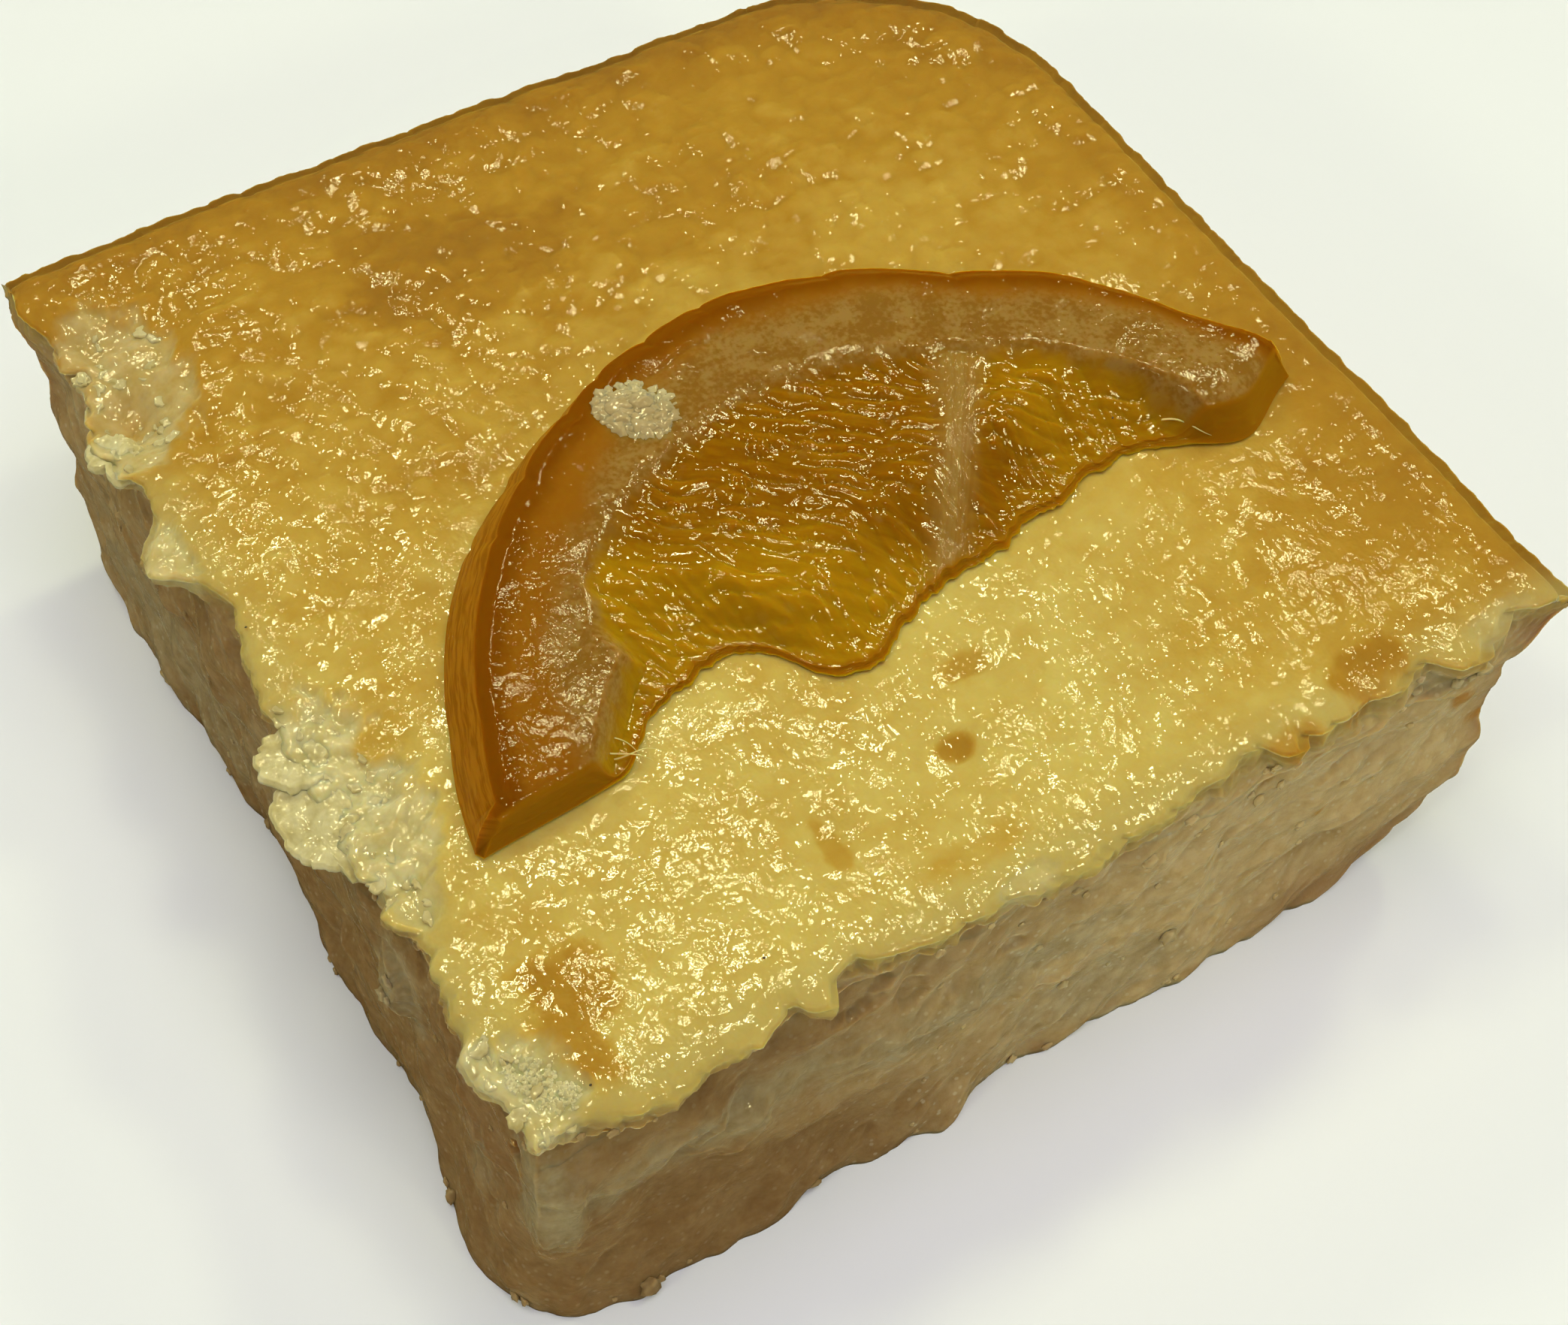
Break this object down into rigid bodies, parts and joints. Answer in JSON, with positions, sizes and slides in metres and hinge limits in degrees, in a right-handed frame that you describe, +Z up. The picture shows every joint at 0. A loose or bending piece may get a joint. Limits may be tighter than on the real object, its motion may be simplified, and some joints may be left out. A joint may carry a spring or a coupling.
{
  "type": "portokalopita corner piece",
  "caption": "Corner piece of syrup-soaked citrus cake: browned crust over pale moist crumb, with half a candied citrus slice lying on top.",
  "frame": {"origin": "middle of the box round the piece, on the flat base it rests on", "axes": "+X along one knife-cut face towards the pan's side, +Y along the other cut face towards the pan's other side, +Z up through the crust"},
  "size_m": [0.0846, 0.082, 0.0338],
  "materials": {
    "cake": "moist baked crust and crumb, wet with syrup",
    "candied_slice": "glossy translucent candied fruit"
  },
  "bodies": {
    "root": {"cake": "cake", "candied_slice": "candied_slice"}
  },
  "joints": []
}
